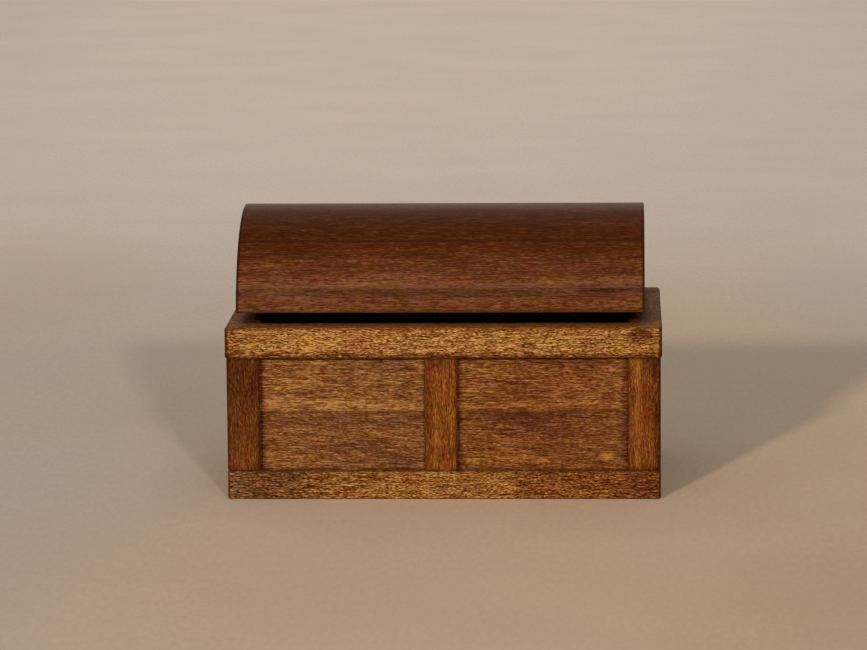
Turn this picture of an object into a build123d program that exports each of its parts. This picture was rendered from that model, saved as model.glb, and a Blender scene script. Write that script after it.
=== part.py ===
"""A small keepsake chest: a panelled wooden box under a barrel lid of curved staves.

All lengths are millimetres. The origin is the middle of the flat underside, the front
faces -Y, +X is to the right and +Z is up. The lid stands slightly ajar on its hinges.
"""

import os
from math import asin, cos, degrees, radians, sin

from build123d import *

# Box
chest_width = 96.4
chest_depth = 60.0
chest_height = 38.4
rim_height = 6.8
rim_width = 7.4
rim_overhang = 0.3
strip_thickness = 1.8
stile_width = 7.2
middle_stile_shift = -0.6
bottom_rail_height = 6.4
lower_board_height = 19.5
floor_thickness = 3.0

# Lid
lid_left_inset = 2.4
lid_right_inset = 3.8
lid_front_inset = 3.0
lid_rise = 21.8
lid_rail_height = 5.3
lid_rail_bevel = 1.1
lid_stave_height = 15.2
stave_thickness = 2.8
lid_end_thickness = 4.0
lid_end_glue_gap = 0.05
closing_gap = 0.1
rest_angle = 2.8

# Hinges
hinge_length = 12.0
hinge_inset = 22.0
leaf_height = 3.4
leaf_thickness = 0.6
knuckle_radius = 1.1
knuckle_gap = 0.1
barrel_standoff = 0.05
pin_radius = 0.5
pin_clearance = 0.03
pin_overhang = 0.3
middle_knuckle_share = 0.36

# Brads
brad_spacing = 7.0
brad_radius = 0.35
brad_length = 2.6
brad_clearance = 0.03
pilot_overrun = 0.2
brad_head_radius = 0.75
brad_head_height = 0.4
brad_bevel_share = 0.7

# Eased edges
board_ease = 0.12
strip_ease = 0.3
rim_ease = 0.35
rim_corner_radius = 0.9
strip_corner_radius = 0.8
stave_ease = 0.15
pin_ease = 0.15

# Places worked out from the sizes above
side_x = chest_width / 2
side_y = chest_depth / 2
strip_x = side_x - rim_overhang
strip_y = side_y - rim_overhang
wall_x = strip_x - strip_thickness
wall_y = strip_y - strip_thickness
inner_x = side_x - rim_width
inner_y = side_y - rim_width
wall_top = chest_height - rim_height

back_reach = knuckle_radius + barrel_standoff
hinge_y = side_y + back_reach
hinge_z = chest_height + closing_gap / 2
hinge_x = side_x - hinge_inset
lid_depth = chest_depth - lid_front_inset
lid_half_depth = lid_depth / 2
lid_centre = (-back_reach - lid_half_depth, closing_gap / 2)
lid_left = lid_left_inset - side_x
lid_right = side_x - lid_right_inset

# Planes through the pins: two seen from behind the leaves, looking forwards, and the lid's section
turn_y, turn_z = cos(radians(rest_angle)), sin(radians(rest_angle))
box_hinge_plane = Plane(origin=(0, hinge_y, hinge_z), x_dir=(1, 0, 0), z_dir=(0, -1, 0))
lid_hinge_plane = Plane(origin=(0, hinge_y, hinge_z), x_dir=(1, 0, 0), z_dir=(0, -turn_y, turn_z))
lid_section_plane = Plane(origin=(0, hinge_y, hinge_z), x_dir=(0, turn_y, -turn_z), z_dir=(1, 0, 0))


def save(piece, label):
    """Name a finished piece and write its file."""
    piece.part.label = label
    export_step(piece.part, "parts/" + label + ".step")


def board(x_span, y_span, z_span, ease):
    """A squared board between the given limits, with every edge eased."""
    with BuildPart() as piece:
        with BuildSketch(Plane.XY.offset(z_span[0])):
            with Locations((sum(x_span) / 2, sum(y_span) / 2)):
                Rectangle(x_span[1] - x_span[0], y_span[1] - y_span[0])
        extrude(amount=z_span[1] - z_span[0])
        chamfer(piece.edges(), ease)
    return piece


def corner_strip(x_span, y_span, z_span):
    """An eased strip, rounded where its upright edges are the chest's own corners."""
    with BuildPart() as strip:
        with BuildSketch(Plane.XY.offset(z_span[0])):
            with Locations((sum(x_span) / 2, sum(y_span) / 2)):
                Rectangle(x_span[1] - x_span[0], y_span[1] - y_span[0])
        extrude(amount=z_span[1] - z_span[0])
        upright = strip.edges().filter_by(Axis.Z)
        chamfer(upright - upright.group_by(SortBy.DISTANCE)[-1], strip_ease)
        upright = strip.edges().filter_by(Axis.Z)
        fillet(upright.group_by(SortBy.DISTANCE)[-1], strip_corner_radius)
        chamfer(strip.edges().filter_by(Plane.XY), strip_ease)
    return strip


def span(start, end):
    """Two limits in rising order, whichever side of the box they lie on."""
    return (min(start, end), max(start, end))


def wall_boards():
    """Two boards edge to edge on each side, the end walls held between front and back."""
    heights = (("lower", (0, lower_board_height)), ("upper", (lower_board_height, wall_top)))
    for level, z_span in heights:
        for side, way in (("front", -1), ("back", 1)):
            long_wall = board((-wall_x, wall_x), span(way * inner_y, way * wall_y), z_span, board_ease)
            save(long_wall, side + "_" + level + "_board")
        for side, way in (("left", -1), ("right", 1)):
            end_wall = board(span(way * inner_x, way * wall_x), (-inner_y, inner_y), z_span, board_ease)
            save(end_wall, side + "_" + level + "_board")


def floor_board():
    """The floor, held between the four walls and flush with their feet."""
    floor = board((-inner_x, inner_x), (-inner_y, inner_y), (0, floor_thickness), board_ease)
    save(floor, "floor_board")


def long_strips(side, way):
    """The bottom rail and three stiles applied to the front or the back."""
    y_span = span(way * wall_y, way * strip_y)
    bottom = corner_strip((-strip_x, strip_x), y_span, (0, bottom_rail_height))
    save(bottom, side + "_bottom_rail")
    stile_heights = (bottom_rail_height, wall_top)
    middle_span = (middle_stile_shift - stile_width / 2, middle_stile_shift + stile_width / 2)
    middle = board(middle_span, y_span, stile_heights, strip_ease)
    save(middle, side + "_middle_stile")
    for place, turn in (("left", -1), ("right", 1)):
        x_span = span(turn * strip_x, turn * (strip_x - stile_width))
        stile = corner_strip(x_span, y_span, stile_heights)
        save(stile, side + "_" + place + "_stile")


def end_strips(side, way):
    """The bottom rail and two stiles applied to an end, between the long strips."""
    x_span = span(way * wall_x, way * strip_x)
    bottom = board(x_span, (-wall_y, wall_y), (0, bottom_rail_height), strip_ease)
    save(bottom, side + "_bottom_rail")
    end_stile_width = stile_width - strip_thickness
    for place, turn in (("front", -1), ("back", 1)):
        y_span = span(turn * (wall_y - end_stile_width), turn * wall_y)
        stile = board(x_span, y_span, (bottom_rail_height, wall_top), strip_ease)
        save(stile, side + "_" + place + "_stile")


def long_rim_rail(side, way):
    """A full-width rail on top of the front or back wall, rounded at its outer corners."""
    with BuildPart() as rail:
        with BuildSketch(Plane.XY.offset(wall_top)):
            with Locations((0, way * (side_y - rim_width / 2))):
                Rectangle(chest_width, rim_width)
        extrude(amount=rim_height)
        upright = rail.edges().filter_by(Axis.Z)
        fillet(upright.sort_by(Axis.Y, reverse=way > 0)[:2], rim_corner_radius)
        chamfer(rail.edges().filter_by(Plane.XY), rim_ease)
        if side == "back":
            with BuildSketch(box_hinge_plane.offset(back_reach)):
                with Locations(*brad_places(-1)):
                    Circle(brad_radius + brad_clearance)
            extrude(amount=pilot_depth(), mode=Mode.SUBTRACT)
    save(rail, side + "_rim_rail")


def end_rim_rail(side, way):
    """A rail on top of an end wall, held between the long rails."""
    x_span = span(way * inner_x, way * side_x)
    rail = board(x_span, (-inner_y, inner_y), (wall_top, chest_height), rim_ease)
    save(rail, side + "_rim_rail")


def joint_angle(height):
    """The angle on the lid's elliptical section at which its outside reaches a height."""
    return degrees(asin(height / lid_rise))


def lid_arc(inset, start, end):
    """A stretch of the lid's section, drawn inset from its outside."""
    return EllipticalCenterArc(
        center=lid_centre,
        x_radius=lid_half_depth - inset,
        y_radius=lid_rise - inset,
        start_angle=start,
        arc_size=end - start,
    )


def lid_stave(label, start, end):
    """A curved stave of the barrel lid, bevelled to lie flush with its neighbours."""
    with BuildPart() as stave:
        with BuildSketch(lid_section_plane.offset(lid_left)):
            with BuildLine():
                outside = lid_arc(0, start, end)
                inside = lid_arc(stave_thickness, start, end)
                Line(outside @ 0, inside @ 0)
                Line(outside @ 1, inside @ 1)
            make_face()
        extrude(amount=lid_right - lid_left)
        outside = stave.faces().sort_by(SortBy.AREA)[-1]
        chamfer(outside.edges().filter_by(Axis.X, reverse=True), stave_ease)
    save(stave, label)


def lid_rail(label, way):
    """A lower rail of the lid, flat outside and curved inside to meet the end boards.

    The front one is planed down at its shoulder to meet the stave above. The rear one stays
    square, with the hinge leaves on its flat.
    """
    rail_angle = joint_angle(lid_rail_height)
    start, end = (0, rail_angle) if way > 0 else (180 - rail_angle, 180)
    top, bottom = (1, 0) if way > 0 else (0, 1)
    foot = (lid_centre[0] + way * lid_half_depth, lid_centre[1])
    seat = (lid_centre[0] + way * lid_half_depth * cos(radians(rail_angle)), foot[1] + lid_rail_height)
    shoulder = (foot[0], seat[1] if way > 0 else seat[1] - lid_rail_bevel)
    with BuildPart() as rail:
        with BuildSketch(lid_section_plane.offset(lid_left)):
            with BuildLine():
                inside = lid_arc(stave_thickness, start, end)
                Polyline(inside @ bottom, foot, shoulder, seat, inside @ top)
            make_face()
        extrude(amount=lid_right - lid_left)
        outside = rail.faces().sort_by(Axis.Y)[-1 if way > 0 else 0]
        chamfer(outside.edges().sort_by(Axis.Z)[:-1], stave_ease)
        if way > 0:
            with BuildSketch(lid_hinge_plane.offset(back_reach)):
                with Locations(*brad_places(1)):
                    Circle(brad_radius + brad_clearance)
            extrude(amount=pilot_depth(), mode=Mode.SUBTRACT)
    save(rail, label)


def lid_end(label, start_x):
    """A D-shaped board that closes one end of the barrel, glued inside the staves."""
    with BuildPart() as end_board:
        with BuildSketch(lid_section_plane.offset(start_x)):
            with BuildLine():
                curve = lid_arc(stave_thickness + lid_end_glue_gap, 0, 180)
                Line(curve @ 1, curve @ 0)
            make_face()
        extrude(amount=lid_end_thickness)
        chamfer(end_board.edges(), board_ease)
    save(end_board, label)


def barrel_lid():
    """Six long pieces from front to back over two end boards."""
    low = joint_angle(lid_rail_height)
    high = joint_angle(lid_stave_height)
    lid_rail("lid_front_rail", -1)
    lid_stave("lid_front_stave", 180 - high, 180 - low)
    lid_stave("lid_front_crown", 90, 180 - high)
    lid_stave("lid_rear_crown", high, 90)
    lid_stave("lid_rear_stave", low, high)
    lid_rail("lid_rear_rail", 1)
    lid_end("lid_left_end", lid_left)
    lid_end("lid_right_end", lid_right - lid_end_thickness)


def leaf_edge():
    """How far from the pin's axis a leaf's plate starts, clear of the other leaf's knuckles."""
    return knuckle_radius + knuckle_gap


def pilot_depth():
    """Depth of a brad's hole in the wood behind the leaf."""
    return brad_length - leaf_thickness + pilot_overrun


def brad_places(reach, centres=(-hinge_x, hinge_x)):
    """Where the brads of the lid (reach 1) or the box (reach -1) pass through the leaves."""
    height = reach * (leaf_edge() + leaf_height / 2)
    return [(x + way * brad_spacing / 2, height) for x in centres for way in (-1, 1)]


def hinge_leaf(label, centre_x, hinge_plane, reach, knuckles):
    """One leaf: a drilled plate on the wood, rolled round the pin at its knuckles.

    The plate lies below the pin for reach -1 and above it for reach 1. Each knuckle is a
    pair of limits along the pin, measured from the hinge's middle.
    """
    with BuildPart() as leaf:
        with BuildSketch(hinge_plane.offset(back_reach - leaf_thickness)):
            with Locations((centre_x, reach * (leaf_edge() + leaf_height / 2))):
                Rectangle(hinge_length, leaf_height)
            for start, end in knuckles:
                with Locations((centre_x + (start + end) / 2, reach * leaf_edge() / 2)):
                    Rectangle(end - start, leaf_edge())
            with Locations(*brad_places(reach, (centre_x,))):
                Circle(brad_radius + brad_clearance, mode=Mode.SUBTRACT)
        extrude(amount=leaf_thickness)
        for start, end in knuckles:
            with BuildSketch(Plane.YZ.offset(centre_x + start)):
                with Locations((hinge_y, hinge_z)):
                    Circle(knuckle_radius)
            extrude(amount=end - start)
        with BuildSketch(Plane.YZ.offset(centre_x - hinge_length / 2)):
            with Locations((hinge_y, hinge_z)):
                Circle(pin_radius + pin_clearance)
        extrude(amount=hinge_length, mode=Mode.SUBTRACT)
    save(leaf, label)


def hinge_pin(label, centre_x):
    """The loose pin that the three knuckles turn on."""
    half_length = hinge_length / 2 + pin_overhang
    with BuildPart() as pin:
        with BuildSketch(Plane.YZ.offset(centre_x - half_length)):
            with Locations((hinge_y, hinge_z)):
                Circle(pin_radius)
        extrude(amount=2 * half_length)
        chamfer(pin.edges().filter_by(GeomType.CIRCLE), pin_ease)
    save(pin, label)


def butt_hinge(side, centre_x):
    """A small butt hinge: two knuckles on the box leaf, one on the lid leaf, and the pin."""
    half = hinge_length / 2
    middle = middle_knuckle_share * half
    outer_knuckles = ((-half, -middle - knuckle_gap), (middle + knuckle_gap, half))
    hinge_leaf(side + "_hinge_box_leaf", centre_x, box_hinge_plane, -1, outer_knuckles)
    hinge_leaf(side + "_hinge_lid_leaf", centre_x, lid_hinge_plane, 1, ((-middle, middle),))
    hinge_pin(side + "_hinge_pin", centre_x)


def hinge_brads(label, hinge_plane, reach):
    """Four brads through the plates of one pair of leaves, their heads bevelled."""
    plate_face = hinge_plane.offset(back_reach - leaf_thickness)
    with BuildPart() as brads:
        with BuildSketch(plate_face):
            with Locations(*brad_places(reach)):
                Circle(brad_radius)
        extrude(amount=brad_length)
        with BuildSketch(plate_face):
            with Locations(*brad_places(reach)):
                Circle(brad_head_radius)
        extrude(amount=-brad_head_height)
        crowns = brads.faces().group_by(Axis(plate_face.origin, plate_face.z_dir))[0]
        chamfer(crowns.edges(), brad_bevel_share * brad_head_height)
    save(brads, label)


os.makedirs("parts", exist_ok=True)
wall_boards()
floor_board()
for side, way in (("front", -1), ("back", 1)):
    long_strips(side, way)
    long_rim_rail(side, way)
for side, way in (("left", -1), ("right", 1)):
    end_strips(side, way)
    end_rim_rail(side, way)
    butt_hinge(side, way * hinge_x)
barrel_lid()
hinge_brads("box_hinge_brads", box_hinge_plane, -1)
hinge_brads("lid_hinge_brads", lid_hinge_plane, 1)
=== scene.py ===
"""The looks of a small keepsake chest: stained boards, a barrel lid and two brass hinges.

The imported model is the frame, in metres, with the front facing -Y and +Z up. Every piece of
the chest keeps its own shape from there and gets its wood or metal here. Sizes in this file
are millimetres and angles are degrees, unless a name or a comment says otherwise.
"""

import logging
import math
from dataclasses import dataclass, field
from enum import Enum

import bpy
from mathutils import Euler, Matrix, Vector


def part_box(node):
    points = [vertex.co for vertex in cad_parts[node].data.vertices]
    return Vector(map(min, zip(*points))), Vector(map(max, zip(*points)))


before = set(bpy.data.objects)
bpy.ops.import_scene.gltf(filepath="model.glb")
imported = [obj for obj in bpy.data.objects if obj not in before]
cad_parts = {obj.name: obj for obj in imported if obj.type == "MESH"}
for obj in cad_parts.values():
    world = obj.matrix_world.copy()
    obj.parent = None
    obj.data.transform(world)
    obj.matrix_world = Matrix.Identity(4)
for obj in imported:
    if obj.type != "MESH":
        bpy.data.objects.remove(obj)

Colour = tuple[float, float, float]
Triple = tuple[float, float, float]
Pair = tuple[float, float]
Node = bpy.types.Node
Socket = bpy.types.NodeSocket
Material = bpy.types.Material
Inputs = dict[str | int, object]

LOG = logging.getLogger("keepsake_chest")
MM = 0.001
ORIGIN = (0.0, 0.0, 0.0)

# The reach of a patch that only has to go through a face, and of one past all of a piece.
THROUGH = 4.0
WHOLE = 400.0


def paint(red: float, green: float, blue: float) -> Colour:
    """Turn a colour as seen on a screen into the linear light values that shaders use.

    Args:
        red: Red from 0 to 255.
        green: Green from 0 to 255.
        blue: Blue from 0 to 255.

    Returns:
        The three linear values, from 0 to 1.
    """

    def linear(level: float) -> float:
        """Turn one level into its linear value, by the curve that screens follow."""
        share = level / 255
        return share / 12.92 if share <= 0.04045 else ((share + 0.055) / 1.055) ** 2.4

    return (linear(red), linear(green), linear(blue))


class Grain(Enum):
    """The way the fibres of a board run, as the turn in radians that lays them along X."""

    ACROSS = (0.0, 0.0, 0.0)
    DEEP = (0.0, 0.0, -math.pi / 2)
    UPRIGHT = (0.0, math.pi / 2, 0.0)


class Side(Enum):
    """A side of a stile, as the corner of its box that lies there."""

    LEFT = 0
    RIGHT = 1


@dataclass(frozen=True)
class WoodFinish:
    """A stained wood, from its pale fibres to the stain in its pores.

    The contrasts say how far each pattern moves the colour between dark and golden. The dusk,
    ruddy and honey colours are the shares of red, green and blue that such a stain lets through.
    """

    name: str
    golden_colour: Colour
    body_colour: Colour
    dark_colour: Colour
    dusk_colour: Colour = (0.42, 0.40, 0.75)
    ruddy_colour: Colour = (0.99, 0.74, 0.61)
    honey_colour: Colour = (0.98, 0.95, 0.46)
    fleck_length: float = 0.8
    streak_length: float = 4.0
    fibre_width: float = 0.2
    wander: float = 0.3
    fleck_contrast: float = 2.2
    streak_contrast: float = 0.9
    figure_contrast: float = 0.15
    mottle_contrast: float = 0.1
    glint_share: float = 0.4
    hue_share: float = 1.0
    dusk_share: float = 0.15
    pore_depth: float = 0.3
    edge_depth: float = 0.6
    wear: float = 0.06
    roughness: float = 0.46
    shine: float = 0.04
    sheen: float = 0.0
    sheen_colour: Colour = (1.0, 0.7, 0.45)
    bump: float = 0.25
    relief_depth: float = 0.1


@dataclass(frozen=True)
class MetalFinish:
    """A small stamped metal part with tarnish in its corners."""

    name: str
    bright_colour: Colour
    tarnish_colour: Colour
    tarnish_share: float = 0.45
    roughness: float = 0.34
    bump: float = 0.12
    relief_depth: float = 0.05


Finish = WoodFinish | MetalFinish


@dataclass(frozen=True)
class Pattern:
    """A noise: its length and width in the grain, how fine it goes and how rough it is."""

    length: object
    width: object
    detail: float
    rough: float


@dataclass(frozen=True)
class Patch:
    """A spot of stain or of painted light or shade, lighter, darker, duskier, redder or yellower.

    Its size is its reach each way from the centre.
    """

    centre: Triple
    size: Triple
    tone: float = 0.0
    dusk: float = 0.0
    ruddy: float = 0.0
    honey: float = 0.0
    ragged: float = 0.6


Patches = tuple[Patch, ...]


@dataclass(frozen=True)
class FloorLightPool:
    """A wide soft pool of painted light or shade on the floor, lighter, darker, warmer or cooler."""

    centre: Triple
    size: Triple
    gain: Colour
    ragged: float = 0.0


@dataclass(frozen=True)
class Face:
    """A face at the front that patches lie on or just off, as its place from front to back."""

    y: float

    def patch(self, x: float, z: float, across: float, upright: float, **stain: float) -> Patch:
        """Place a patch at x and z that reaches so far across and upright, through the face."""
        return Patch((x, self.y, z), (across, THROUGH, upright), **stain)


RIM = Face(-30.0)
STRIPS = Face(-29.7)
BOARDS = Face(-28.0)
LID_BAND = Face(-26.4)


@dataclass(frozen=True)
class StileShadow:
    """A band of painted shadow that a front stile casts on the board beside it: where and how much.
    """

    stile: str
    side: Side
    width: float
    tone: float
    dusk: float
    ruddy: float


@dataclass(frozen=True)
class Cut:
    """How one board was cut from the plank: where, which way and how it took the stain; on some
    boards its tone and patches also carry painted light or shade.
    """

    grain: Grain = Grain.ACROSS
    place: Triple = ORIGIN
    tilt: float = 0.0
    tone: float = 0.0
    edge: float = 1.0
    patches: Patches = ()


RIM_WOOD = WoodFinish(
    "rim_wood",
    golden_colour=paint(212, 166, 104),
    body_colour=paint(130, 80, 24),
    dark_colour=paint(62, 18, 0),
    fleck_length=0.75,
    fibre_width=0.17,
    wander=0.2,
    fleck_contrast=2.8,
    streak_contrast=1.7,
    hue_share=0.72,
)
BOARD_WOOD = WoodFinish(
    "board_wood",
    golden_colour=paint(188, 142, 92),
    body_colour=paint(113, 69, 32),
    dark_colour=paint(70, 26, 2),
    fleck_length=0.95,
    streak_length=5.0,
    fibre_width=0.17,
    wander=0.2,
    fleck_contrast=1.9,
    streak_contrast=1.6,
    hue_share=0.88,
)
STILE_WOOD = WoodFinish(
    "stile_wood",
    golden_colour=paint(164, 106, 52),
    body_colour=paint(109, 58, 16),
    dark_colour=paint(58, 20, 0),
    fleck_length=0.9,
    fibre_width=0.18,
    fleck_contrast=1.8,
    streak_contrast=1.3,
    hue_share=1.3,
)
LID_WOOD = WoodFinish(
    "lid_wood",
    golden_colour=paint(154, 106, 72),
    body_colour=paint(86, 43, 18),
    dark_colour=paint(40, 14, 3),
    fleck_length=1.2,
    streak_length=5.5,
    fibre_width=0.22,
    fleck_contrast=0.85,
    streak_contrast=0.7,
    figure_contrast=0.34,
    glint_share=0.25,
    hue_share=1.4,
    pore_depth=0.2,
    edge_depth=0.85,
    roughness=0.28,
    sheen=0.02,
)
HINGE_BRASS = MetalFinish(
    "hinge_brass", bright_colour=paint(196, 160, 96), tarnish_colour=paint(96, 70, 40)
)

# The values of a finish that each shared group takes as inputs.
GRAIN_SIZES = ("fleck_length", "streak_length", "fibre_width", "wander")
STAIN_VALUES = (
    "fleck_contrast", "streak_contrast", "figure_contrast", "mottle_contrast", "glint_share",
    "hue_share", "dusk_share", "pore_depth", "edge_depth", "wear", "roughness", "golden_colour",
    "body_colour", "dark_colour", "dusk_colour", "ruddy_colour", "honey_colour",
)
METAL_VALUES = ("tarnish_share", "roughness", "bright_colour", "tarnish_colour")

# Patterns in the wood and its stain.
GRAIN_DRIFT = Pattern(26, 7, 1, 0.55)
FIGURE = Pattern(30, 2, 2.5, 0.5)
MOTTLE = Pattern(14, 7, 2, 0.5)
HUE_DRIFT = Pattern(5, 1.7, 2, 0.6)
TORN_STAIN = Pattern(2.4, 1, 3, 0.6)

# Patterns in the brass and in the paper.
TARNISH_CLOUD = Pattern(1.4, 1.1, 4, 0.6)
TARNISH_SPECK = Pattern(0.25, 0.22, 2, 0.6)
PAPER_BLOTCH = Pattern(60, 60, 2, 0.6)
PAPER_SPECK = Pattern(1.2, 4, 3, 0.6)

# Where in the noise the glints and the pores are taken from, and the levels that make them.
GLINT_SHIFT = (71.0, 5.0, 23.0)
PORE_SHIFT = (31.0, 17.0, 53.0)
SPECK_LEVELS = (0.58, 0.70)

# The levels of the hue over which the stain turns reddish or yellow, and of the mottle, dusky.
RUDDY_LEVELS = (0.52, 0.36)
HONEY_LEVELS = (0.50, 0.64)
DUSKY_LEVELS = (0.52, 0.30)


def inputs_from(finish: Finish, names: tuple[str, ...]) -> dict[str, object]:
    """Return a finish's values under the names of a group's inputs."""
    return {name.replace("_", " ").title(): getattr(finish, name) for name in names}


class Sheet:
    """Lays out the nodes of one shader tree and wires them together."""

    def __init__(self, tree: bpy.types.NodeTree) -> None:
        """Start on a tree that may already hold nodes."""
        self.tree = tree

    def node(self, kind: str, inputs: Inputs | None = None, **settings: object) -> Node:
        """Add a node, set its properties and feed its inputs.

        Args:
            kind: The node's type name.
            inputs: What goes into its inputs, by their names or numbers.
            settings: Property names and their values.

        Returns:
            The new node.
        """
        made = self.tree.nodes.new(kind)
        for name, value in settings.items():
            setattr(made, name, value)
        self.fill(made, inputs or {})
        return made

    def fill(self, made: Node, inputs: Inputs) -> None:
        """Feed several of a node's inputs, by their names or numbers."""
        for name, source in inputs.items():
            self.feed(made.inputs[name], source)

    def feed(self, target: Socket, source: object) -> None:
        """Wire a socket to another, or set it where the source is a plain value.

        Args:
            target: The input socket.
            source: An output socket, a number, a vector or a colour.
        """
        if isinstance(source, Socket):
            self.tree.links.new(source, target)
        elif target.type == "RGBA":
            target.default_value = (*source[:3], 1.0)
        else:
            target.default_value = source

    def math(self, operation: str, *terms: object, clamp: bool = False) -> Socket:
        """Add a Math node over sockets or numbers and return its result."""
        inputs = dict(enumerate(terms))
        return self.node("ShaderNodeMath", inputs, operation=operation, use_clamp=clamp).outputs[0]

    def times(self, value: object, factor: object, clamp: bool = False) -> Socket:
        """Multiply two values."""
        return self.math("MULTIPLY", value, factor, clamp=clamp)

    def plus(self, total: object, value: object, factor: object, clamp: bool = False) -> Socket:
        """Add a value times a factor to a total."""
        return self.math("MULTIPLY_ADD", value, factor, total, clamp=clamp)

    def centred(self, level: Socket) -> Socket:
        """Shift a level of 0 to 1 so that its middle is at 0."""
        return self.math("SUBTRACT", level, 0.5)

    def vector(self, operation: str, *terms: object) -> Socket:
        """Add a Vector Math node over sockets or vectors and return its result."""
        made = self.node("ShaderNodeVectorMath", dict(enumerate(terms)), operation=operation)
        return made.outputs["Value" if operation in ("LENGTH", "DISTANCE") else "Vector"]

    def join(self, *parts: object) -> Socket:
        """Make a vector of three values."""
        return self.node("ShaderNodeCombineXYZ", dict(enumerate(parts))).outputs[0]

    def split(self, vector: Socket) -> tuple[Socket, ...]:
        """Take a vector apart into its three values."""
        return tuple(self.node("ShaderNodeSeparateXYZ", {0: vector}).outputs)

    def blend(self, share: object, start: object, end: object, kind: str = "MIX") -> Socket:
        """Mix two colours by the share, from 0 to 1, of the second one."""
        settings = {"data_type": "RGBA", "blend_type": kind, "clamp_factor": True}
        return self.node("ShaderNodeMix", {0: share, 6: start, 7: end}, **settings).outputs[2]

    def spread(self, value: Socket, levels: Pair) -> Socket:
        """Turn a value into a mask that rises from 0 at the first level to 1 at the second."""
        inputs = {"Value": value, "From Min": levels[0], "From Max": levels[1]}
        return self.node("ShaderNodeMapRange", inputs, interpolation_type="SMOOTHSTEP").outputs[0]

    def fade(self, value: Socket, levels: Pair) -> Socket:
        """Turn a value into a mask that falls from 1 at the first level to 0 at the second."""
        return self.math("SUBTRACT", 1.0, self.spread(value, levels))

    def millimetres(self) -> Socket:
        """Return the place on the piece, in millimetres."""
        place = self.node("ShaderNodeTexCoord").outputs["Object"]
        return self.node("ShaderNodeMapping", {"Vector": place, "Scale": (1 / MM,) * 3}).outputs[0]

    def noise(self, place: object, detail: float, rough: float) -> Socket:
        """Add a noise whose grain is about one unit of the place and return its value."""
        inputs = {"Vector": place, "Scale": 1.0, "Detail": detail, "Roughness": rough}
        return self.node("ShaderNodeTexNoise", inputs).outputs[0]

    def pattern(self, place: object, drawn: Pattern) -> Socket:
        """Draw a pattern out along X and return its value."""
        size = self.join(drawn.length, drawn.width, drawn.width)
        return self.noise(self.vector("DIVIDE", place, size), drawn.detail, drawn.rough)


class Effect:
    """A shader node group with named inputs and outputs, shared by several finishes."""

    def __init__(self, name: str, inputs: dict[str, object], outputs: tuple[str, ...]) -> None:
        """Create the empty group.

        Args:
            name: The group's name.
            inputs: Socket names with their usual values: a number, or a colour or vector of three.
            outputs: Socket names. The one named Color is a colour and the others are numbers.
        """
        self.tree = bpy.data.node_groups.new(name, "ShaderNodeTree")
        add = self.tree.interface.new_socket
        for socket_name, value in inputs.items():
            kind = "Float"
            if isinstance(value, tuple):
                kind = "Color" if "Colour" in socket_name else "Vector"
            made = add(socket_name, in_out="INPUT", socket_type="NodeSocket" + kind)
            made.default_value = (*value, 1.0) if kind == "Color" else value
        for socket_name in outputs:
            kind = "Color" if socket_name == "Color" else "Float"
            add(socket_name, in_out="OUTPUT", socket_type="NodeSocket" + kind)
        self.sheet = Sheet(self.tree)
        self.given = self.sheet.node("NodeGroupInput").outputs
        self.result = self.sheet.node("NodeGroupOutput")

    def finished(self, **results: Socket) -> "Effect":
        """Wire the group's outputs by name and return the group."""
        self.sheet.fill(self.result, results)
        return self

    def place(self, sheet: Sheet, **values: object) -> dict[str, Socket]:
        """Put the group into a material.

        Args:
            sheet: The material's sheet.
            values: Input values or sockets, with underscores or spaces in their names.

        Returns:
            The group's outputs by name.
        """
        inputs = {name.replace("_", " "): value for name, value in values.items()}
        made = sheet.node("ShaderNodeGroup", inputs, node_tree=self.tree)
        return {socket.name: socket for socket in made.outputs}


def wood_grain() -> Effect:
    """Build the group that draws the marks of the wood along X, from flecks to stain mottle.

    Returns:
        The group. Glint and Pores are masks and the rest are levels about a half.
    """
    effect = Effect(
        "Wood Grain",
        {"Vector": ORIGIN, **inputs_from(RIM_WOOD, GRAIN_SIZES)},
        ("Fleck", "Streak", "Glint", "Pores", "Figure", "Mottle", "Hue", "Height"),
    )
    sheet, given = effect.sheet, effect.given
    fleck_length, streak_length = given["Fleck Length"], given["Streak Length"]
    width = given["Fibre Width"]
    drift = sheet.centred(sheet.pattern(given["Vector"], GRAIN_DRIFT))
    aside = sheet.times(drift, given["Wander"])
    place = sheet.vector("ADD", given["Vector"], sheet.join(0.0, aside, aside))
    fleck = sheet.pattern(place, Pattern(fleck_length, width, 1.5, 0.6))
    streak = sheet.pattern(place, Pattern(streak_length, sheet.times(width, 1.3), 2.0, 0.6))
    specks = []
    for shift, length, thickness in (
        (GLINT_SHIFT, sheet.times(streak_length, 0.5), width),
        (PORE_SHIFT, sheet.times(fleck_length, 0.8), sheet.times(width, 0.7)),
    ):
        moved = sheet.vector("ADD", place, shift)
        level = sheet.pattern(moved, Pattern(length, thickness, 1.0, 0.5))
        specks.append(sheet.spread(level, SPECK_LEVELS))
    glint, pores = specks
    fibres = sheet.times(sheet.math("ADD", fleck, streak), 0.5)
    return effect.finished(
        Fleck=fleck, Streak=streak, Glint=glint, Pores=pores,
        Figure=sheet.pattern(place, FIGURE),
        Mottle=sheet.pattern(place, MOTTLE),
        Hue=sheet.pattern(place, HUE_DRIFT),
        Height=sheet.math("SUBTRACT", fibres, sheet.times(pores, 0.6)),
    )


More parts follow.
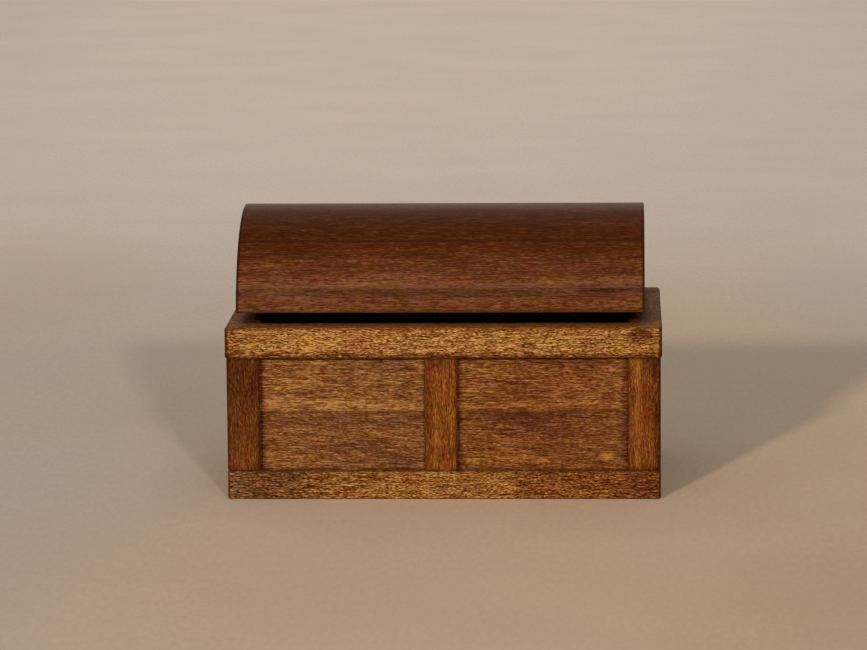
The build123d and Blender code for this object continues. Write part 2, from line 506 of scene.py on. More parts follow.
def board_edges() -> Effect:
    """Build the group that marks the arrises of a squared board, broken up by hand sanding.

    Returns:
        The group. Edge marks the stain and Arris the thin wear on it.
    """
    effect = Effect(
        "Board Edges",
        {"Vector": ORIGIN, "Centre": ORIGIN, "Half Size": (1.0, 1.0, 1.0), "Reach": 0.8},
        ("Edge", "Arris"),
    )
    sheet, given = effect.sheet, effect.given
    sanding = 1.1
    worn_levels = (0.05, 0.4)
    away = sheet.vector("ABSOLUTE", sheet.vector("SUBTRACT", given["Vector"], given["Centre"]))
    x, y, z = sheet.split(sheet.vector("SUBTRACT", given["Half Size"], away))
    # An arris is near where the middle one of the three distances to a face is small.
    smaller = sheet.math("MINIMUM", x, y)
    larger = sheet.math("MAXIMUM", x, y)
    middle = sheet.math("MAXIMUM", smaller, sheet.math("MINIMUM", larger, z))
    break_up = sheet.centred(sheet.noise(given["Vector"], 2.0, 0.6))
    share = sheet.math("DIVIDE", sheet.plus(middle, break_up, sanding), given["Reach"])
    return effect.finished(
        Edge=sheet.fade(share, (0.0, 1.0)), Arris=sheet.fade(middle, worn_levels)
    )


def stave_edges() -> Effect:
    """Build the group that marks a curved stave's two long joints and paints shade just inside its
    ends.

    Returns:
        The group. Edge marks the stain at the joints and the painted shade at the ends, and Arris the
        thin wear on them.
    """
    effect = Effect(
        "Stave Edges",
        {
            "Vector": ORIGIN, "Low Joint": ORIGIN, "High Joint": ORIGIN, "Low Depth": 1.0,
            "High Depth": 1.0, "Ends": (-1.0, 1.0, 0.0), "Reach": 0.8,
        },
        ("Edge", "Arris"),
    )
    sheet, given = effect.sheet, effect.given
    sanding = 0.5
    end_depth = 1.2
    end_levels = (0.3, 0.7)
    inside_levels = (0.002, 0.02)
    seam_levels = (0.2, 1.0)
    worn_levels = (0.05, 0.5)
    flat = sheet.vector("MULTIPLY", given["Vector"], (0.0, 1.0, 1.0))
    low = sheet.vector("DISTANCE", flat, given["Low Joint"])
    high = sheet.vector("DISTANCE", flat, given["High Joint"])
    left, right, _ = sheet.split(given["Ends"])
    x = sheet.split(given["Vector"])[0]
    end = sheet.math("MINIMUM", sheet.math("SUBTRACT", x, left), sheet.math("SUBTRACT", right, x))
    nearest = sheet.math("MINIMUM", sheet.math("MINIMUM", low, high), end)
    break_up = sheet.centred(sheet.noise(given["Vector"], 2.0, 0.6))
    # Painted shade on the stave's rounded ends.
    end_shade = sheet.fade(end, end_levels)
    dark = sheet.times(sheet.times(end_shade, sheet.spread(end, inside_levels)), end_depth)
    for joint, depth in ((low, given["Low Depth"]), (high, given["High Depth"])):
        share = sheet.math("DIVIDE", sheet.plus(joint, break_up, sanding), given["Reach"])
        seam = sheet.fade(share, seam_levels)
        dark = sheet.math("MAXIMUM", dark, sheet.times(seam, depth))
    return effect.finished(Edge=dark, Arris=sheet.fade(nearest, worn_levels))


def stain_and_shade_patch() -> Effect:
    """Build the group that marks a soft ragged spot, of stain or of painted light or shade.

    Returns:
        The group. Mask is 1 in the middle of the spot and 0 outside it.
    """
    effect = Effect(
        "Stain Patch",
        {"Vector": ORIGIN, "Centre": ORIGIN, "Size": (5.0, 5.0, 5.0), "Ragged": 0.6},
        ("Mask",),
    )
    sheet, given = effect.sheet, effect.given
    fading_levels = (0.35, 1.0)
    away = sheet.vector("SUBTRACT", given["Vector"], given["Centre"])
    reach = sheet.vector("LENGTH", sheet.vector("DIVIDE", away, given["Size"]))
    torn = sheet.centred(sheet.pattern(given["Vector"], TORN_STAIN))
    reach = sheet.plus(reach, torn, given["Ragged"])
    return effect.finished(Mask=sheet.fade(reach, fading_levels))


def wood_stain() -> Effect:
    """Build the group that turns the grain's masks into stained colour and roughness, with the
    painted light and shade of a piece's patches coming in through Tone, Dusk, Ruddy and Honey.

    Returns:
        The group.
    """
    effect = Effect(
        "Wood Stain",
        {
            **dict.fromkeys(("Fleck", "Streak", "Figure", "Mottle", "Hue"), 0.5),
            **dict.fromkeys(("Glint", "Pores", "Edge", "Arris"), 0.0),
            **dict.fromkeys(("Tone", "Dusk", "Ruddy", "Honey"), 0.0),
            **inputs_from(RIM_WOOD, STAIN_VALUES),
        },
        ("Color", "Roughness"),
    )
    sheet, given = effect.sheet, effect.given
    tone = sheet.math("ADD", given["Tone"], 0.5)
    for name in ("Fleck", "Streak", "Figure", "Mottle"):
        tone = sheet.plus(tone, sheet.centred(given[name]), given[name + " Contrast"])
    low_half = sheet.times(tone, 2.0, clamp=True)
    high_half = sheet.plus(-1.0, tone, 2.0, clamp=True)
    colour = sheet.blend(low_half, given["Dark Colour"], given["Body Colour"])
    colour = sheet.blend(high_half, colour, given["Golden Colour"])
    glint = sheet.times(given["Glint"], given["Glint Share"])
    colour = sheet.blend(glint, colour, given["Golden Colour"])
    for name, level, levels, share in (
        ("Ruddy", "Hue", RUDDY_LEVELS, "Hue Share"),
        ("Honey", "Hue", HONEY_LEVELS, "Hue Share"),
        ("Dusk", "Mottle", DUSKY_LEVELS, "Dusk Share"),
    ):
        amount = sheet.plus(given[name], sheet.spread(given[level], levels), given[share])
        colour = sheet.blend(amount, colour, given[name + " Colour"], "MULTIPLY")
    for mask, depth, end in (
        ("Pores", "Pore Depth", "Dark Colour"),
        ("Edge", "Edge Depth", "Dark Colour"),
        ("Arris", "Wear", "Golden Colour"),
    ):
        colour = sheet.blend(sheet.times(given[mask], given[depth]), colour, given[end])
    streaks_dull, pores_dull, arrises_dull = 0.35, 0.12, -0.06
    rough = sheet.plus(given["Roughness"], sheet.centred(given["Streak"]), streaks_dull)
    rough = sheet.plus(rough, given["Pores"], pores_dull)
    rough = sheet.plus(rough, given["Arris"], arrises_dull, clamp=True)
    return effect.finished(Color=colour, Roughness=rough)


def aged_metal() -> Effect:
    """Build the group that spreads tarnish and rubbed spots over small metal parts.

    Returns:
        The group.
    """
    effect = Effect(
        "Aged Metal",
        {"Vector": ORIGIN, **inputs_from(HINGE_BRASS, METAL_VALUES)},
        ("Color", "Roughness", "Height"),
    )
    sheet, given = effect.sheet, effect.given
    cloud_levels, speck_levels = (0.36, 0.66), (0.5, 0.75)
    speck_share, speck_height, dulling = 0.4, 0.5, 0.35
    cloud = sheet.pattern(given["Vector"], TARNISH_CLOUD)
    speck = sheet.pattern(given["Vector"], TARNISH_SPECK)
    specks = sheet.times(sheet.spread(speck, speck_levels), speck_share)
    mask = sheet.math("ADD", sheet.spread(cloud, cloud_levels), specks)
    share = sheet.times(mask, given["Tarnish Share"], clamp=True)
    return effect.finished(
        Color=sheet.blend(share, given["Bright Colour"], given["Tarnish Colour"]),
        Roughness=sheet.plus(given["Roughness"], share, dulling, clamp=True),
        Height=sheet.math("ADD", cloud, sheet.times(speck, speck_height)),
    )


class FinishingBench:
    """Holds the shared effects, makes the materials from them and coats the pieces."""

    def __init__(self) -> None:
        """Build each shared group once."""
        self.grain = wood_grain()
        self.boards = board_edges()
        self.staves = stave_edges()
        self.patch = stain_and_shade_patch()
        self.stain = wood_stain()
        self.metal = aged_metal()

    def blank(self, name: str) -> tuple[Material, Sheet, Node]:
        """Start a material with only its main shader.

        Args:
            name: The material's name.

        Returns:
            The material, its sheet and the Principled shader.
        """
        material = bpy.data.materials.new(name)
        material.use_nodes = True
        material.node_tree.nodes.clear()
        sheet = Sheet(material.node_tree)
        shader = sheet.node("ShaderNodeBsdfPrincipled")
        sheet.node("ShaderNodeOutputMaterial", {"Surface": shader.outputs[0]})
        return material, sheet, shader

    def mask(self, sheet: Sheet, place: Socket, spot: Patch | FloorLightPool) -> Socket:
        """Mark a patch of stain or painted shade, or a pool of painted floor light, in a material and
        return its mask.
        """
        values = {"Vector": place, "Centre": spot.centre, "Size": spot.size, "Ragged": spot.ragged}
        return self.patch.place(sheet, **values)["Mask"]

    def patchwork(self, sheet: Sheet, place: Socket, cut: Cut) -> dict[str, object]:
        """Add up what a piece's patches of stain and of painted light or shade do.

        Args:
            sheet: The material's sheet.
            place: The place on the chest, in millimetres.
            cut: The piece, with its patches.

        Returns:
            Tone, Dusk, Ruddy and Honey, each a socket or a number.
        """
        sums = {"Tone": cut.tone, "Dusk": 0.0, "Ruddy": 0.0, "Honey": 0.0}
        for patch in cut.patches:
            mask = self.mask(sheet, place, patch)
            for name in sums:
                share = getattr(patch, name.lower())
                if share:
                    sums[name] = sheet.plus(sums[name], mask, share)
        return sums

    def dress_shader(
        self, sheet: Sheet, shader: Node, finish: Finish, look: dict[str, Socket]
    ) -> None:
        """Give a material's shader its colour, roughness and relief.

        Args:
            sheet: The material's sheet.
            shader: The Principled shader.
            finish: The finish, for its relief.
            look: The sockets Color, Roughness and Height.
        """
        relief = sheet.node("ShaderNodeBump", {
            "Strength": finish.bump, "Distance": finish.relief_depth * MM, "Height": look["Height"],
        })
        sheet.fill(shader, {
            "Base Color": look["Color"], "Roughness": look["Roughness"], "Normal": relief.outputs[0],
        })

    def stain_piece(
        self, node: str, finish: WoodFinish, cut: Cut, edges: Effect, marks: dict[str, object]
    ) -> None:
        """Stain one wooden piece.

        Args:
            node: The piece's name.
            finish: The wood and its stain.
            cut: How this piece was cut from the plank.
            edges: The effect that finds the piece's edges.
            marks: Where those edges are, as that effect's inputs.
        """
        material, sheet, shader = self.blank(node)
        place = sheet.millimetres()
        turn = Euler(cut.grain.value).to_matrix()
        tilt = Euler((0.0, math.radians(cut.tilt), 0.0)).to_matrix()
        plank = sheet.node("ShaderNodeMapping", {
            "Vector": place, "Location": cut.place, "Rotation": (tilt @ turn).to_euler(),
        })
        grain = self.grain.place(sheet, Vector=plank.outputs[0], **inputs_from(finish, GRAIN_SIZES))
        height = grain.pop("Height")
        edge = edges.place(sheet, Vector=place, **marks)
        values = inputs_from(finish, STAIN_VALUES)
        values["Edge Depth"] *= cut.edge
        look = self.stain.place(sheet, **grain, **edge, **self.patchwork(sheet, place, cut), **values)
        look["Height"] = height
        self.dress_shader(sheet, shader, finish, look)
        sheet.fill(shader, {
            "Specular IOR Level": finish.shine, "Sheen Weight": finish.sheen,
            "Sheen Tint": finish.sheen_colour,
        })
        self.coat(node, material, finish)

    def brass(self, finish: MetalFinish) -> Material:
        """Make the aged metal of the hinge parts.

        Args:
            finish: The metal and its tarnish.

        Returns:
            The material.
        """
        material, sheet, shader = self.blank(finish.name)
        values = inputs_from(finish, METAL_VALUES)
        look = self.metal.place(sheet, Vector=sheet.millimetres(), **values)
        self.dress_shader(sheet, shader, finish, look)
        sheet.fill(shader, {"Metallic": 1.0})
        return material

    def coat(self, node: str, material: Material, finish: Finish) -> None:
        """Give a piece of the frame its material and say so in the log.

        Args:
            node: The piece's name.
            material: What it is made of.
            finish: The finish of that material.
        """
        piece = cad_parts[node]
        piece.data.materials.clear()
        piece.data.materials.append(material)
        LOG.info("%s: %s", node, finish.name)

    def stain_board(self, node: str, finish: WoodFinish, cut: Cut, reach: float) -> None:
        """Stain one squared board.

        Args:
            node: The board's name.
            finish: The wood and its stain.
            cut: How the board was cut from the plank.
            reach: How far the darker stain goes from its arrises.
        """
        low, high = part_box(node)
        centre, half = (low + high) / 2 / MM, (high - low) / 2 / MM
        marks = {"Centre": centre, "Half Size": half, "Reach": reach}
        self.stain_piece(node, finish, cut, self.boards, marks)


@dataclass
class ChestBox:
    """The panelled box: boards edge to edge, strips applied over them and a rim on top."""

    bench: FinishingBench
    edge_reach: float = 0.7
    stile_shadow_ragged: float = 0.15
    # Painted shadows that the front stiles cast on the boards beside them.
    stile_shadows: tuple[StileShadow, ...] = (
        StileShadow("left", Side.RIGHT, 1.5, tone=-0.12, dusk=0.5, ruddy=1.0),
        StileShadow("middle", Side.RIGHT, 1.5, tone=-0.08, dusk=0.4, ruddy=0.2),
        StileShadow("right", Side.LEFT, 1.8, tone=-0.1, dusk=0.4, ruddy=0.4),
    )
    left_stile_patches: Patches = (
        STRIPS.patch(-44.6, 18, WHOLE, WHOLE, dusk=0.4),
        STRIPS.patch(-48.2, 18, 1.4, 60, dusk=0.3, ragged=0.4),
        STRIPS.patch(-44.6, 28, 9, 9, tone=-0.08, dusk=0.2),
        STRIPS.patch(-44.6, 10, 3, 6, tone=0.1),
    )
    middle_stile_patches: Patches = (
        STRIPS.patch(-0.6, 31, 5, 4, dusk=0.45),
        STRIPS.patch(-4.4, 20, 2.4, 60, tone=-0.08, dusk=0.25, ragged=0.8),
    )
    right_stile_patches: Patches = (
        STRIPS.patch(46, 30.5, 4, 4, dusk=0.8),
        STRIPS.patch(45, 6.4, 6, 1.6, tone=-0.1, dusk=0.4),
        STRIPS.patch(42.9, 18, 1.1, 40, tone=0.2, honey=0.3),
        STRIPS.patch(46, 18, 2.8, 60, tone=-0.06),
        # Painted shade on the stile's rounded outer arris, which turns away from the key lamp.
        STRIPS.patch(48.2, 18, 2.4, 60, tone=-0.1, dusk=0.75, ragged=0.3),
    )
    foot_patches: Patches = (
        STRIPS.patch(-39, 3.2, 15, 7, tone=-0.04, dusk=0.6),
        STRIPS.patch(34, 3, 26, 12, tone=-0.08, dusk=0.25, ruddy=0.8),
        STRIPS.patch(44, 3, 9, 6, dusk=0.4, ruddy=0.5),
        STRIPS.patch(0, 6.4, WHOLE, 0.4, tone=-0.15, dusk=0.3, ragged=0.3),
    )
    upper_patches: Patches = (
        # Painted shade under the rim's overhang, along the top of the board.
        BOARDS.patch(0, 31.6, WHOLE, 0.9, tone=-0.15, dusk=0.4, ragged=0.3),
        BOARDS.patch(-15, 29.6, 13, 2.6, dusk=0.4),
        BOARDS.patch(-22, 20.4, 60, 2.6, tone=0.16, honey=0.3),
        BOARDS.patch(-32, 26.5, 9, 4, tone=0.05, honey=0.3),
        BOARDS.patch(27, 30, 15, 2.2, dusk=0.4),
        BOARDS.patch(23, 20.4, 30, 2.4, tone=0.05, honey=0.4),
        BOARDS.patch(23, 26, 30, 14, tone=-0.08, ruddy=0.6),
        BOARDS.patch(23, 19.6, 24, 1.1, tone=-0.14, dusk=0.1),
    )
    lower_patches: Patches = (
        BOARDS.patch(0, 6.4, WHOLE, 0.5, tone=-0.1, dusk=0.2, ragged=0.3),
        BOARDS.patch(-18, 18.6, 60, 3.4, tone=-0.06, dusk=0.3),
        BOARDS.patch(-22, 12, 28, 12, tone=-0.05, dusk=0.05),
        BOARDS.patch(-17, 11.7, 11, 2.2, dusk=0.4),
        BOARDS.patch(-9, 8.3, 5.5, 2.2, dusk=0.5),
        BOARDS.patch(-31, 8.6, 10, 1.8, tone=0.1, honey=0.2),
        BOARDS.patch(22, 19.5, 24, 1.6, dusk=0.3),
        BOARDS.patch(22.5, 16.6, 18, 4.4, dusk=0.35, ragged=0.9),
        BOARDS.patch(36, 9.3, 2.6, 1.2, tone=0.5, honey=0.9),
        BOARDS.patch(21.9, 8.1, 2.2, 1, tone=0.25, honey=0.9),
        BOARDS.patch(6, 7.9, 2.4, 1, tone=0.2, honey=0.8),
        BOARDS.patch(13.5, 9.2, 11, 2.2, tone=0.1, honey=0.5),
        BOARDS.patch(23, 14, 30, 14, tone=-0.07, dusk=0.05, ruddy=0.6),
    )

    def dress(self) -> None:
        """Stain the walls, the floor, the strips and the rim."""
        self.dress_walls()
        self.dress_strips()
        self.dress_rim()

    def dress_walls(self) -> None:
        """Stain the two boards of each wall, and the floor between them, with painted shadow beside
        the front stiles and painted shade under the rim.
        """
        stile_shadows = self.stile_shadow_patches()
        cuts = {
            "front_upper_board": Cut(
                place=(11, 3, 7), tilt=-0.8, edge=0.3, patches=(*stile_shadows, *self.upper_patches)
            ),
            "front_lower_board": Cut(
                place=(61, 43, 17), tilt=-2.5, tone=-0.04, edge=0.3,
                patches=(*stile_shadows, *self.lower_patches),
            ),
            "back_upper_board": Cut(place=(131, 23, 37), tilt=1.0),
            "back_lower_board": Cut(place=(171, 53, 27), tilt=-1.5, tone=-0.05),
            "left_upper_board": Cut(Grain.DEEP, (211, 13, 57)),
            "left_lower_board": Cut(Grain.DEEP, (241, 33, 47), tone=-0.05),
            "right_upper_board": Cut(Grain.DEEP, (281, 63, 67)),
            "right_lower_board": Cut(Grain.DEEP, (311, 73, 77), tone=-0.05),
            "floor_board": Cut(place=(351, 83, 87), tone=-0.1),
        }
        for node, cut in cuts.items():
            self.bench.stain_board(node, BOARD_WOOD, cut, self.edge_reach)

    def stile_shadow_patches(self) -> Patches:
        """Turn the stile shadows into patches of painted shadow.

        Returns:
            One upright band of painted shadow for each stile.
        """
        bands = []
        for stile_shadow in self.stile_shadows:
            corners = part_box(f"front_{stile_shadow.stile}_stile")
            edge = (corners[stile_shadow.side.value].x / MM, corners[1].y / MM, 0)
            stain = (stile_shadow.tone, stile_shadow.dusk, stile_shadow.ruddy)
            size = (stile_shadow.width, THROUGH, WHOLE)
            bands.append(Patch(edge, size, *stain, ragged=self.stile_shadow_ragged))
        return tuple(bands)

    def dress_strips(self) -> None:
        """Stain the stiles and the bottom rails, with painted shade on some rounded arrises."""
        stiles = (
            ("left", -0.1, self.left_stile_patches),
            ("middle", 0.0, self.middle_stile_patches),
            ("right", 0.0, self.right_stile_patches),
        )
        # The front bottom rail's ends get painted shade.
        rail_patches = (*self.foot_patches, *self.end_shade_patches("front_bottom_rail", 0.6))
        for number, (side, seen) in enumerate((("front", True), ("back", False))):
            for turn, (place, tone, patches) in enumerate(stiles):
                plank = (40 * number, 19 * turn, 31 * turn)
                cut = Cut(Grain.UPRIGHT, plank, tone=tone, patches=patches if seen else ())
                self.bench.stain_board(f"{side}_{place}_stile", STILE_WOOD, cut, self.edge_reach)
            plank = (90 * number + 7, 5, 91)
            cut = Cut(place=plank, tone=-0.1, edge=0.5, patches=rail_patches if seen else ())
            self.bench.stain_board(f"{side}_bottom_rail", RIM_WOOD, cut, self.edge_reach)
        for number, side in enumerate(("left", "right")):
            for turn, place in enumerate(("front", "back")):
                cut = Cut(Grain.UPRIGHT, (33 * number + 120, 29 * turn, 11))
                self.bench.stain_board(f"{side}_{place}_stile", STILE_WOOD, cut, self.edge_reach)
            cut = Cut(Grain.DEEP, (70 * number, 15, 61))
            self.bench.stain_board(f"{side}_bottom_rail", RIM_WOOD, cut, self.edge_reach)

    def dress_rim(self) -> None:
        """Stain the four rails on top of the walls, and paint shade on them under the lid."""
        # Painted shade under the lid on the rails' tops.
        side_shade = {"reach": (7.9, WHOLE, THROUGH), "tone": -0.25, "dusk": 0.7}
        cuts = {
            "front_rim_rail": Cut(place=(23, 101, 9), patches=(
                RIM.patch(43.5, 36.6, 4.4, 2.2, tone=-0.25, dusk=0.35, ruddy=1.0, ragged=0.9),
                RIM.patch(-47, 35, 4, 9, tone=-0.12),
                # Painted shade on the rail's rounded ends.
                *self.end_shade_patches("front_rim_rail", 1.1),
                RIM.patch(0, 31.6, WHOLE, 1.8, tone=-0.18, dusk=0.35, ruddy=0.3, ragged=0.5),
                *self.lid_shade_patches((0, -22.4), (WHOLE, 7.6, THROUGH), tone=-0.05, dusk=0.1),
            )),
            "back_rim_rail": Cut(
                place=(143, 111, 19),
                patches=self.lid_shade_patches((0, 22.4), (WHOLE, 7.9, THROUGH), tone=-0.12, dusk=0.3),
            ),
            "left_rim_rail": Cut(
                Grain.DEEP, (183, 121, 29), patches=self.lid_shade_patches((-40.6, 0), **side_shade)
            ),
            "right_rim_rail": Cut(Grain.DEEP, (223, 131, 39), edge=1.5, patches=(
                Patch((46, 8, 38.4), (1.1, 14, THROUGH), tone=0.2, honey=0.8, ragged=0.9),
                *self.lid_shade_patches((40.6, 0), **side_shade),
            )),
        }
        for node, cut in cuts.items():
            self.bench.stain_board(node, RIM_WOOD, cut, self.edge_reach)

    def end_shade_patches(self, node: str, width: float) -> Patches:
        """Paint shade on the two rounded upright ends of a front rail.

        Args:
            node: The rail's name.
            width: How far the painted shade goes from each end.

        Returns:
            One upright band of painted shade for each end.
        """
        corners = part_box(node)
        front = corners[0].y / MM
        size = (width, THROUGH, WHOLE)
        return tuple(
            Patch((corner.x / MM, front, 0), size, tone=-0.3, dusk=0.6, ragged=0.3)
            for corner in corners
        )

    def lid_shade_patches(self, inside: Pair, reach: Triple, tone: float, dusk: float) -> Patches:
        """Paint shade on a rim rail under the lid, darker towards the inside of the chest, and redden
        its whole top.

        Args:
            inside: The middle of the rail's inner edge, seen from above.
            reach: How far the painted shade goes from there.
            tone: How much darker it is.
            dusk: How much duskier it is.

        Returns:
            The painted shade on the inner side and the thin redder band on the whole top.
        """
        middle = (*inside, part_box("front_rim_rail")[1].z / MM)
        # Painted shade under the lid, towards the opening.
        inner = Patch(middle, reach, tone, dusk, ruddy=1.0, ragged=0.3)
        upper = Patch(middle, (WHOLE, WHOLE, 0.9), ruddy=0.5, ragged=0.3)
        return inner, upper


@dataclass
class BarrelLid:
    """The lid: six long pieces laid over two D-shaped end boards."""

    bench: FinishingBench
    edge_reach: float = 0.6
    joint_slack: float = 2.5
    seam_depths: dict[str, Pair] = field(default_factory=lambda: {
        "lid_front_rail": (0.6, 0.2),
        "lid_front_stave": (0.2, 1.0),
        "lid_front_crown": (1.0, 0.6),
        "lid_rear_crown": (0.6, 1.0),
        "lid_rear_stave": (1.0, 0.2),
        "lid_rear_rail": (0.2, 0.6),
    })
    band_patches: Patches = (
        # Painted shade and grey reflection on the bevelled shoulder of the front rail.
        LID_BAND.patch(0, 46, WHOLE, 2.2, tone=0.02, dusk=0.4, ragged=0.8),
        LID_BAND.patch(38, 46.2, 12, 0.7, tone=-0.12, dusk=0.35, ragged=0.5),
        Patch((-45.8, -27, 45.6), (1.4, THROUGH, 0.9), tone=-0.3, dusk=0.9),
    )

    def joint_lines(self, node: str) -> tuple[Triple, Triple, Triple]:
        """Find the outer long edges of a stave and its two ends.

        Args:
            node: The stave's name.

        Returns:
            A point on its lower and on its higher outer edge, and its limits along X.
        """
        low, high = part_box("lid_left_end")
        centre = Vector((0.0, (low.y + high.y) / 2, low.z))
        spots = [Vector((0.0, v.co.y, v.co.z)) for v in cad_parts[node].data.vertices]
        angles = [math.atan2(centre.y - spot.y, centre.z - spot.z) % math.tau for spot in spots]
        slack = math.radians(self.joint_slack)
        edges = []
        for limit in (min(angles), max(angles)):
            near = [spot for spot, angle in zip(spots, angles) if abs(angle - limit) < slack]
            edges.append(tuple(max(near, key=lambda spot: (spot - centre).length) / MM))
        left, right = (corner.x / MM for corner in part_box(node))
        return edges[0], edges[1], (left, right, 0.0)

    def dress(self) -> None:
        """Stain the staves, the lower rails and the end boards, with painted light and shade on the
        front rail, stave and crown.
        """
        cuts = {
            "lid_front_rail": Cut(place=(17, 201, 3), tone=0.08, patches=(
                Patch((-20, -28, 42), (40, THROUGH, 8), tone=0.02, dusk=0.15),
                Patch((30, -28, 41), (28, THROUGH, 1.7), tone=-0.14, ragged=0.4),
                *self.band_patches,
            )),
            "lid_front_stave": Cut(place=(57, 211, 13), tilt=0.6, patches=(
                # Painted shade, redder, on the upper stave and painted light on its lower part.
                Patch((0, -25, 58), (WHOLE, 12, 6.5), tone=-0.2, ruddy=0.8, ragged=0.4),
                Patch((0, -28, 45), (WHOLE, 9, 5.5), tone=0.21, dusk=0.12, ragged=0.5),
                *self.band_patches,
            )),
            # The front crown is darker all over by painted shade, redder low down, and has a painted
            # highlight along its top.
            "lid_front_crown": Cut(place=(97, 221, 23), tone=-0.16, patches=(
                Patch((0, -20, 57), (WHOLE, 14, 6), ruddy=0.8, ragged=0.4),
                Patch((0, -12, 62), (WHOLE, 16, 9), honey=0.7, ragged=0.4),
                # Painted highlight along the top of the crown.
                Patch((0, 0, 62), (WHOLE, 7.5, 4), tone=0.16, honey=0.3, ragged=0.4),
            )),
            "lid_rear_crown": Cut(place=(137, 231, 33)),
            "lid_rear_stave": Cut(place=(177, 241, 43)),
            "lid_rear_rail": Cut(place=(217, 251, 53)),
        }
        for node, cut in cuts.items():
            low, high, ends = self.joint_lines(node)
            low_depth, high_depth = self.seam_depths[node]
            marks = {
                "Low Joint": low, "High Joint": high, "Ends": ends, "Low Depth": low_depth,
                "High Depth": high_depth, "Reach": self.edge_reach,
            }
            self.bench.stain_piece(node, LID_WOOD, cut, self.bench.staves, marks)
        for number, node in enumerate(("lid_left_end", "lid_right_end")):
            cut = Cut(Grain.DEEP, (257 + 40 * number, 261, 63))
            self.bench.stain_board(node, LID_WOOD, cut, self.edge_reach)


@dataclass
class Hinges:
    """Two small brass butt hinges with their loose pins and brads."""

    bench: FinishingBench

    def dress(self) -> None:
        """Give the leaves, pins and brads their aged brass."""
        brass = self.bench.brass(HINGE_BRASS)
        nodes = ["box_hinge_brads", "lid_hinge_brads"]
        for part in ("box_leaf", "lid_leaf", "pin"):
            nodes += [f"left_hinge_{part}", f"right_hinge_{part}"]
        for node in nodes:
            self.bench.coat(node, brass, HINGE_BRASS)


@dataclass(frozen=True)
class Lamp:
    """One lamp, far off, as the way its light falls: right, back and down.

    Its level is what it gives a white sheet that faces it, and its spread is how wide it looks.
    """

    name: str
    way: Triple
    level: float
    colour: Colour
    spread: float

    def hang(self) -> None:
        """Hang the lamp in the scene."""
        lamp = bpy.data.lights.new(self.name, "SUN")
        lamp.energy = self.level * math.pi
        lamp.color = self.colour
        lamp.angle = math.radians(self.spread)
        hung = bpy.data.objects.new(self.name, lamp)
        hung.rotation_euler = Vector(self.way).to_track_quat("-Z", "Y").to_euler()
        bpy.context.scene.collection.objects.link(hung)


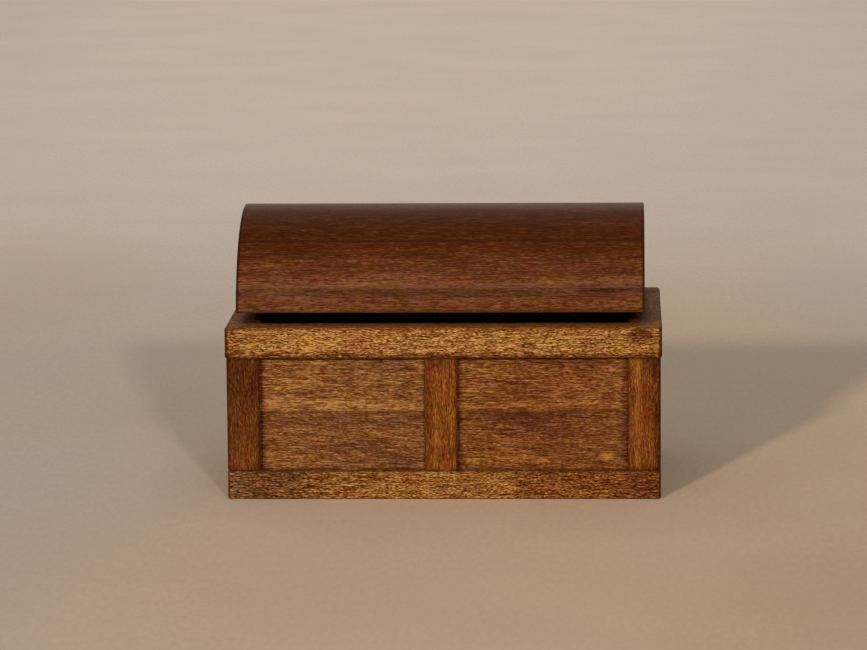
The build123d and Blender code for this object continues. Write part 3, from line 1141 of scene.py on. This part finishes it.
@dataclass
class Studio:
    """A pale floor under soft lamps, and the camera where the photograph was taken."""

    bench: FinishingBench
    camera_place: Triple = (38.5, -984.1, 191.2)
    camera_turns: Triple = (9.05, -2.431, -0.48)
    camera_range: Pair = (10.0, 20000.0)
    focal_pixels: float = 4400.0
    picture_width_pixels: float = 867.0
    sensor_width: float = 36.0
    floor_size: float = 9000.0
    # Painted light on the floor: the lamps' colours from left to right and a paler far floor.
    warm_lit_floor: Colour = paint(218, 190, 160)
    cool_lit_floor: Colour = paint(212, 191, 172)
    far_lit_floor: Colour = paint(237, 217, 200)
    warm_lit_side: Pair = (-110.0, 60.0)
    far_lit_ring: Pair = (120.0, 480.0)
    blotch_share: float = 0.12
    speck_share: float = 0.22
    backdrop: Colour = paint(188, 171, 156)
    ceiling: Colour = paint(84, 76, 70)
    ceiling_heights: Pair = (0.06, 0.5)
    dome_colour: Colour = (0.97, 1.0, 1.04)
    dome_level: float = 0.2
    lamps: tuple[Lamp, ...] = (
        Lamp("key_lamp", (1.14, 2.92, -1.0), level=0.53, colour=(1.0, 0.87, 0.70), spread=3.5),
        Lamp("second_lamp", (-0.76, 2.92, -1.0), level=0.30, colour=(0.98, 0.98, 1.0), spread=3.5),
        Lamp("top_lamp", (0.0, 0.7, -1.0), level=0.10, colour=(0.97, 1.0, 1.03), spread=50.0),
        Lamp("back_lamp", (0.1, -1.0, -0.9), level=0.06, colour=(0.97, 1.0, 1.03), spread=60.0),
    )
    # Pools of painted light and shade on the floor.
    floor_light_pools: tuple[FloorLightPool, ...] = (
        FloorLightPool((-55, 1150, 0), (270, 1000, 50), (1.125, 1.12, 1.115)),
        FloorLightPool((-10, -150, 0), (115, 190, 50), (1.11, 1.05, 1)),
        FloorLightPool((-85, -5, 0), (42, 70, 50), (1.04, 1.06, 1.08)),
        FloorLightPool((90, -180, 0), (60, 130, 50), (0.96, 0.91, 0.87)),
        FloorLightPool((-150, 300, 0), (70, 160, 50), (0.95, 0.93, 0.90)),
        FloorLightPool((120, 250, 0), (60, 130, 50), (0.92, 0.97, 1.03)),
    )

    def build(self) -> None:
        """Set the view, the floor, the lamps and the camera."""
        bpy.context.scene.view_settings.view_transform = "Standard"
        self.lay_floor()
        self.light_dome()
        for lamp in self.lamps:
            lamp.hang()
        self.place_camera()

    def lay_floor(self) -> None:
        """Lay the paper floor."""
        reach = self.floor_size / 2 * MM
        mesh = bpy.data.meshes.new("floor")
        corners = [(-reach, -reach, 0), (reach, -reach, 0), (reach, reach, 0), (-reach, reach, 0)]
        mesh.from_pydata(corners, [], [(0, 1, 2, 3)])
        floor = bpy.data.objects.new("floor", mesh)
        bpy.context.scene.collection.objects.link(floor)
        mesh.materials.append(self.paper())

    def paper(self) -> Material:
        """Make the floor's mottled paper, with painted light that is warmer at the right and paler
        far off, and pools of painted light and shade.

        Returns:
            The material.
        """
        material, sheet, shader = self.bench.blank("paper")
        place = sheet.millimetres()
        warm = sheet.spread(sheet.split(place)[0], self.warm_lit_side)
        far = sheet.spread(sheet.vector("LENGTH", place), self.far_lit_ring)
        colour = sheet.blend(warm, self.cool_lit_floor, self.warm_lit_floor)
        colour = sheet.blend(far, colour, self.far_lit_floor)
        for light_pool in self.floor_light_pools:
            mask = self.bench.mask(sheet, place, light_pool)
            change = tuple(share - 1.0 for share in light_pool.gain)
            gain = sheet.vector("MULTIPLY_ADD", mask, change, (1.0, 1.0, 1.0))
            colour = sheet.vector("MULTIPLY", colour, gain)
        lift = 1.0
        for drawn, share in ((PAPER_BLOTCH, self.blotch_share), (PAPER_SPECK, self.speck_share)):
            lift = sheet.plus(lift, sheet.centred(sheet.pattern(place, drawn)), share)
        colour = sheet.blend(1.0, colour, sheet.join(lift, lift, lift), "MULTIPLY")
        sheet.fill(shader, {"Base Color": colour, "Roughness": 0.9, "Specular IOR Level": 0.2})
        return material

    def light_dome(self) -> None:
        """Light the scene evenly from all round, with the pale backdrop where it is seen."""
        world = bpy.data.worlds.new("studio")
        bpy.context.scene.world = world
        world.use_nodes = True
        world.node_tree.nodes.clear()
        sheet = Sheet(world.node_tree)
        height = sheet.split(sheet.node("ShaderNodeTexCoord").outputs["Generated"])[2]
        overhead = sheet.spread(height, self.ceiling_heights)
        around = sheet.blend(overhead, self.backdrop, self.ceiling)
        soft, seen = (
            sheet.node("ShaderNodeBackground", {"Color": colour, "Strength": strength}).outputs[0]
            for colour, strength in ((self.dome_colour, self.dome_level), (around, 1.0))
        )
        path = sheet.node("ShaderNodeLightPath").outputs
        looked_at = sheet.math("MAXIMUM", path["Is Camera Ray"], path["Is Glossy Ray"])
        looked_at = sheet.math("MAXIMUM", looked_at, path["Is Transmission Ray"])
        mixed = sheet.node("ShaderNodeMixShader", {0: looked_at, 1: soft, 2: seen}).outputs[0]
        sheet.node("ShaderNodeOutputWorld", {"Surface": mixed})

    def place_camera(self) -> None:
        """Stand the camera where the photograph was taken."""
        data = bpy.data.cameras.new("camera")
        data.sensor_width = self.sensor_width
        data.lens = self.focal_pixels * self.sensor_width / self.picture_width_pixels
        data.clip_start, data.clip_end = (limit * MM for limit in self.camera_range)
        camera = bpy.data.objects.new("camera", data)
        bpy.context.scene.collection.objects.link(camera)
        pitch, yaw, roll = (math.radians(turn) for turn in self.camera_turns)
        ahead, aside = math.cos(pitch) * math.cos(yaw), math.cos(pitch) * math.sin(yaw)
        forward = Vector((aside, ahead, -math.sin(pitch)))
        level = Vector((math.cos(yaw), -math.sin(yaw), 0.0))
        upright = level.cross(forward)
        right = math.cos(roll) * level + math.sin(roll) * upright
        up = math.cos(roll) * upright - math.sin(roll) * level
        turn = Matrix((right, up, -forward)).transposed()
        camera.matrix_world = Matrix.Translation(Vector(self.camera_place) * MM) @ turn.to_4x4()
        bpy.context.scene.camera = camera


def main() -> None:
    """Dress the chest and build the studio."""
    logging.basicConfig(level=logging.INFO, format="%(name)s %(message)s")
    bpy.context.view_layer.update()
    bench = FinishingBench()
    ChestBox(bench).dress()
    BarrelLid(bench).dress()
    Hinges(bench).dress()
    Studio(bench).build()


if __name__ == "__main__":
    main()
